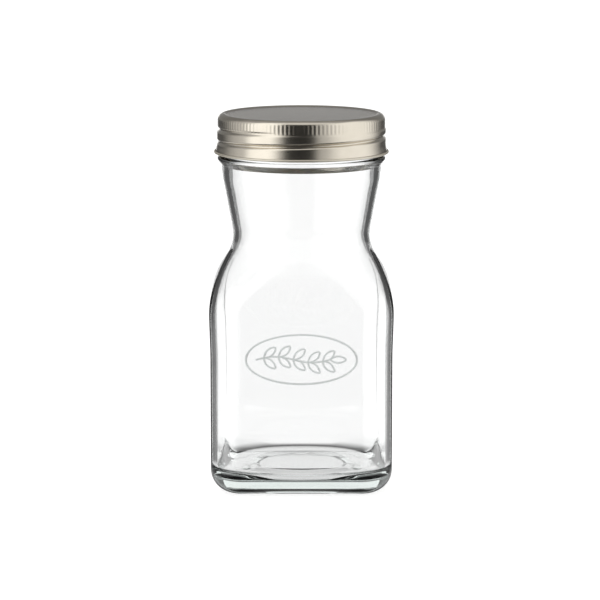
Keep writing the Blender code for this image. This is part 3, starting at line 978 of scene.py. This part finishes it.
def tent_panel(tree, level, up, panel):
    """The brightness of one panel of the light tent, with soft edges."""
    azimuth, half_width, side_edge, low, high, height_edge, brightness = panel
    towards = math.radians(azimuth)
    facing = add_node(
        tree,
        "ShaderNodeVectorMath",
        {1: (math.sin(towards), -math.cos(towards), 0.0)},
        {0: level},
        operation="DOT_PRODUCT",
    )
    away = add_node(
        tree, "ShaderNodeMath", None, {0: facing.outputs["Value"]}, operation="ARCCOSINE"
    )
    edges = [
        (away.outputs[0], half_width + side_edge / 2, half_width - side_edge / 2),
        (up, low - height_edge / 2, low + height_edge / 2),
        (up, high + height_edge / 2, high - height_edge / 2),
    ]
    result = None
    for source, dark, bright in edges:
        edge = add_node(
            tree,
            "ShaderNodeMapRange",
            {"From Min": math.radians(dark), "From Max": math.radians(bright)},
            {"Value": source},
            interpolation_type="SMOOTHSTEP",
        )
        product = add_node(
            tree,
            "ShaderNodeMath",
            {1: brightness},
            {0: edge.outputs["Result"]},
            operation="MULTIPLY",
        )
        if result is not None:
            tree.links.new(result, product.inputs[1])
        result = product.outputs[0]
    return result


def light_tent_cloth():
    """Cloth of the light tent: bright panels and dark gaps that the glass and the metal mirror."""
    material, tree, output = empty_material("light_tent_cloth")
    place = add_node(tree, "ShaderNodeTexCoord").outputs["Object"]
    flat = add_node(
        tree, "ShaderNodeVectorMath", {1: (1.0, 1.0, 0.0)}, {0: place}, operation="MULTIPLY"
    )
    level = add_node(
        tree, "ShaderNodeVectorMath", None, {0: flat.outputs[0]}, operation="NORMALIZE"
    )
    outward = add_node(tree, "ShaderNodeVectorMath", None, {0: place}, operation="NORMALIZE")
    parts = add_node(tree, "ShaderNodeSeparateXYZ", None, {0: outward.outputs[0]})
    up = add_node(tree, "ShaderNodeMath", None, {0: parts.outputs["Z"]}, operation="ARCSINE")
    brightest = None
    for panel in TENT_PANELS:
        panel_light = tent_panel(tree, level.outputs[0], up.outputs[0], panel)
        merged = add_node(
            tree, "ShaderNodeMath", {1: TENT_DARK}, {0: panel_light}, operation="MAXIMUM"
        )
        if brightest is not None:
            tree.links.new(brightest, merged.inputs[1])
        brightest = merged.outputs[0]
    glow = add_node(tree, "ShaderNodeEmission", None, {"Strength": brightest})
    tree.links.new(glow.outputs[0], output.inputs["Surface"])
    return material


def glowing_sweep_paper():
    """White paper that glows evenly, a little brighter where it rises, with a painted shadow of the
    bottle.
    """
    material, tree, output = empty_material("glowing_sweep_paper")
    place = add_node(tree, "ShaderNodeTexCoord").outputs["Object"]
    parts = add_node(tree, "ShaderNodeSeparateXYZ", None, {0: place})
    away = add_node(tree, "ShaderNodeVectorMath", None, {0: place}, operation="LENGTH")
    white = add_node(
        tree,
        "ShaderNodeMapRange",
        {"From Max": SWEEP_BEND, "To Min": SWEEP_TABLE_WHITE, "To Max": SWEEP_BACK_WHITE},
        {"Value": parts.outputs["Z"]},
    )
    # Painted shadow: the glow drops to SHADOW_SHARE in a ring round the bottle's base, with painted
    # shade under the glass
    outer_edge = add_node(
        tree,
        "ShaderNodeMapRange",
        {
            "From Min": SHADOW_RADIUS,
            "From Max": SHADOW_OUTER,
            "To Min": SHADOW_SHARE,
            "To Max": 1.0,
        },
        {"Value": away.outputs["Value"]},
        interpolation_type="SMOOTHSTEP",
    )
    inner_edge = add_node(
        tree,
        "ShaderNodeMapRange",
        {
            "From Min": SHADOW_RADIUS,
            "From Max": SHADOW_INNER,
            "To Min": SHADOW_SHARE,
            "To Max": UNDER_GLASS_PAINTED_SHADE_SHARE,
        },
        {"Value": away.outputs["Value"]},
        interpolation_type="SMOOTHSTEP",
    )
    ring = add_node(
        tree,
        "ShaderNodeMath",
        None,
        {0: outer_edge.outputs["Result"], 1: inner_edge.outputs["Result"]},
        operation="MAXIMUM",
    )
    glow_with_painted_shadow = add_node(
        tree,
        "ShaderNodeMath",
        None,
        {0: white.outputs["Result"], 1: ring.outputs[0]},
        operation="MULTIPLY",
    )
    glow = add_node(tree, "ShaderNodeEmission", None, {"Strength": glow_with_painted_shadow.outputs[0]})
    tree.links.new(glow.outputs[0], output.inputs["Surface"])
    return material


def make_floor(sizes):
    """A round paper floor that fills the view. Glass and metal see the tent in its place."""
    shape = bmesh.new()
    bmesh.ops.create_circle(shape, cap_ends=True, segments=FLOOR_SEGMENTS, radius=FLOOR_RADIUS)
    floor = finished_piece(shape, "paper_floor", [matt_white_paper(sizes)])
    floor.visible_glossy = False
    floor.visible_transmission = False
    return floor


def show_to_glass_and_metal(piece, camera):
    """Let only glass and metal see this piece, and turn it to the camera as on a turntable."""
    piece.visible_camera = False
    piece.visible_diffuse = False
    piece.visible_shadow = False
    piece.visible_volume_scatter = False
    facing = piece.constraints.new("LOCKED_TRACK")
    facing.target = camera
    facing.track_axis = "TRACK_NEGATIVE_Y"
    facing.lock_axis = "LOCK_Z"
    return piece


def make_sweep(camera):
    """The sweep: a strip of paper that lies under the bottle, bends up behind it and stands."""
    shape = bmesh.new()
    front = shape.verts.new((-SWEEP_HALF_WIDTH, SWEEP_FRONT, 0.0))
    under = shape.verts.new((-SWEEP_HALF_WIDTH, 0.0, 0.0))
    bend = shape.verts.new((-SWEEP_HALF_WIDTH, SWEEP_BACK - SWEEP_BEND, 0.0))
    shape.edges.new((front, under))
    shape.edges.new((under, bend))
    bmesh.ops.spin(
        shape,
        geom=[bend],
        cent=(-SWEEP_HALF_WIDTH, SWEEP_BACK - SWEEP_BEND, SWEEP_BEND),
        axis=(1.0, 0.0, 0.0),
        angle=FULL_TURN / 4,
        steps=SWEEP_BEND_STEPS,
    )
    last = max(shape.verts, key=lambda vert: vert.co.z)
    top = shape.verts.new((-SWEEP_HALF_WIDTH, SWEEP_BACK, SWEEP_TOP))
    shape.edges.new((last, top))
    strip = bmesh.ops.extrude_edge_only(shape, edges=shape.edges)
    new_verts = [item for item in strip["geom"] if isinstance(item, bmesh.types.BMVert)]
    bmesh.ops.translate(shape, verts=new_verts, vec=(2 * SWEEP_HALF_WIDTH, 0.0, 0.0))
    for vert in shape.verts:
        behind = min(max(vert.co.y / SWEEP_BACK, 0.0), 1.0)
        half_width = SWEEP_NARROW_HALF + (SWEEP_HALF_WIDTH - SWEEP_NARROW_HALF) * behind
        vert.co.x = math.copysign(half_width, vert.co.x)
    sweep = finished_piece(shape, "white_sweep", [glowing_sweep_paper()])
    sweep.location.z = -SWEEP_DROP
    return show_to_glass_and_metal(sweep, camera)


def make_tent(camera):
    """The light tent round the bottle and the sweep."""
    shape = bmesh.new()
    bmesh.ops.create_icosphere(shape, subdivisions=TENT_SUBDIVISIONS, radius=TENT_RADIUS)
    tent = finished_piece(shape, "light_tent", [light_tent_cloth()])
    tent.location.z = LID_TOP / 2
    return show_to_glass_and_metal(tent, camera)


def make_camera():
    """The camera at the photograph's viewing angle."""
    data = bpy.data.cameras.new("photo_camera")
    data.lens = CAMERA_LENS
    camera = bpy.data.objects.new("photo_camera", data)
    camera.location = (CAMERA_OFFSET, -CAMERA_DISTANCE, CAMERA_HEIGHT)
    camera.rotation_euler = (math.pi / 2 - math.radians(CAMERA_PITCH_DEGREES), 0.0, 0.0)
    bpy.context.scene.collection.objects.link(camera)
    bpy.context.scene.camera = camera
    bpy.context.view_layer.update()
    return camera


def make_key(sizes):
    """One large softbox overhead, which lights the matt surfaces and gives the soft shadow."""
    data = bpy.data.lights.new("overhead_softbox", "AREA")
    data.shape = "RECTANGLE"
    data.size = KEY_WIDTH
    data.size_y = KEY_DEPTH
    data.energy = sizes.key_power
    lamp = bpy.data.objects.new("overhead_softbox", data)
    lamp.location = KEY_PLACE
    lamp.rotation_euler = (-lamp.location).to_track_quat("-Z", "Y").to_euler()
    lamp.visible_glossy = False
    lamp.visible_transmission = False
    bpy.context.scene.collection.objects.link(lamp)


def make_sky(sizes):
    """A plain surrounding light: white for the camera, glass and metal, softer on matt surfaces."""
    world = bpy.data.worlds.new("studio_white")
    world.use_nodes = True
    tree = world.node_tree
    tree.nodes.clear()
    seen = seen_white(tree)
    strength = add_node(tree, "ShaderNodeMath", {1: sizes.sky}, {0: seen}, operation="MAXIMUM")
    light = add_node(tree, "ShaderNodeBackground", None, {"Strength": strength.outputs[0]})
    light.inputs["Color"].default_value = (1.0, 1.0, 1.0, 1.0)
    output = add_node(tree, "ShaderNodeOutputWorld", None, {"Surface": light.outputs[0]})
    output.is_active_output = True
    bpy.context.scene.world = world


class SAUCEBOTTLE_OT_glass(bpy.types.Operator):
    """Model the square glass bottle with its waist, threaded mouth and moulded sprig"""

    bl_idname = "saucebottle.glass"
    bl_label = "Glass Bottle"

    def execute(self, context):
        sizes = context.scene.saucebottle_glass
        shape = turned_surface(outer_corners(sizes), GLASS_TURN_STEPS, glass_step)
        shape_outside(shape, sizes)
        raise_relief(shape, sizes)
        inside = turned_surface(inner_corners(sizes), GLASS_TURN_STEPS, glass_step)
        shape_inside(inside, sizes)
        join_shapes(shape, inside)
        bmesh.ops.recalc_face_normals(shape, faces=shape.faces)
        bottle = finished_piece(shape, "moulded_bottle", [moulded_soda_lime_glass(sizes)])
        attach(bottle, "bottle")
        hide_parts("glass_bottle")
        return {"FINISHED"}


class SAUCEBOTTLE_OT_lid(bpy.types.Operator):
    """Model the metal lid with its knurled band, rolled thread and curled hem"""

    bl_idname = "saucebottle.lid"
    bl_label = "Screw Lid"

    def execute(self, context):
        sizes = context.scene.saucebottle_lid
        shape = bmesh.new()
        draw_lid_sheet(shape, sizes.teeth)
        press_lid(shape, sizes)
        bmesh.ops.recalc_face_normals(shape, faces=shape.faces)
        materials = [lacquered_tinplate(sizes), clear_epoxy_lacquer(sizes)]
        lid = finished_piece(shape, "rolled_lid", materials)
        sheet = lid.modifiers.new("sheet_thickness", "SOLIDIFY")
        sheet.thickness = SHEET
        sheet.offset = 0.0
        sheet.use_even_offset = True
        sheet.material_offset = 1
        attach(lid, "lid")
        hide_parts("screw_lid")
        return {"FINISHED"}


class SAUCEBOTTLE_OT_liner(bpy.types.Operator):
    """Model the foam liner with the ring that the glass rim has pressed into it"""

    bl_idname = "saucebottle.liner"
    bl_label = "Lid Liner"

    def execute(self, context):
        sizes = context.scene.saucebottle_lid
        shape = turned_surface(liner_corners(), LINER_TURN_STEPS, lambda edge: OUTLINE_STEP)
        bmesh.ops.recalc_face_normals(shape, faces=shape.faces)
        liner = finished_piece(shape, "foam_liner", [foamed_polyethylene(sizes)])
        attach(liner, "liner")
        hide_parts("lid_liner")
        return {"FINISHED"}


class SAUCEBOTTLE_OT_stage(bpy.types.Operator):
    """Set up the paper floor, the light tent, the lamp and the camera"""

    bl_idname = "saucebottle.stage"
    bl_label = "Studio"

    def execute(self, context):
        sizes = context.scene.saucebottle_stage
        context.scene.view_settings.view_transform = "Standard"
        camera = make_camera()
        make_floor(sizes)
        make_sweep(camera)
        make_tent(camera)
        make_key(sizes)
        make_sky(sizes)
        return {"FINISHED"}


class SAUCEBOTTLE_PT_panel(bpy.types.Panel):
    """Buttons for each piece and for the studio"""

    bl_idname = "SAUCEBOTTLE_PT_panel"
    bl_label = "Sauce Bottle"
    bl_space_type = "VIEW_3D"
    bl_region_type = "UI"
    bl_category = "Bottle"

    def draw(self, context):
        for operator in PIECES:
            self.layout.operator(operator.bl_idname)


PIECES = (SAUCEBOTTLE_OT_glass, SAUCEBOTTLE_OT_liner, SAUCEBOTTLE_OT_lid, SAUCEBOTTLE_OT_stage)
SETTINGS = {
    "saucebottle_glass": GlassSettings,
    "saucebottle_lid": LidSettings,
    "saucebottle_stage": StageSettings,
}


def register():
    for name, group in SETTINGS.items():
        bpy.utils.register_class(group)
        setattr(bpy.types.Scene, name, bpy.props.PointerProperty(type=group))
    for each in (*PIECES, SAUCEBOTTLE_PT_panel):
        bpy.utils.register_class(each)


def unregister():
    for each in (SAUCEBOTTLE_PT_panel, *reversed(PIECES)):
        bpy.utils.unregister_class(each)
    for name, group in SETTINGS.items():
        delattr(bpy.types.Scene, name)
        bpy.utils.unregister_class(group)


def main():
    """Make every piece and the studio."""
    register()
    bpy.ops.saucebottle.glass()
    bpy.ops.saucebottle.liner()
    bpy.ops.saucebottle.lid()
    bpy.ops.saucebottle.stage()


if __name__ == "__main__":
    main()
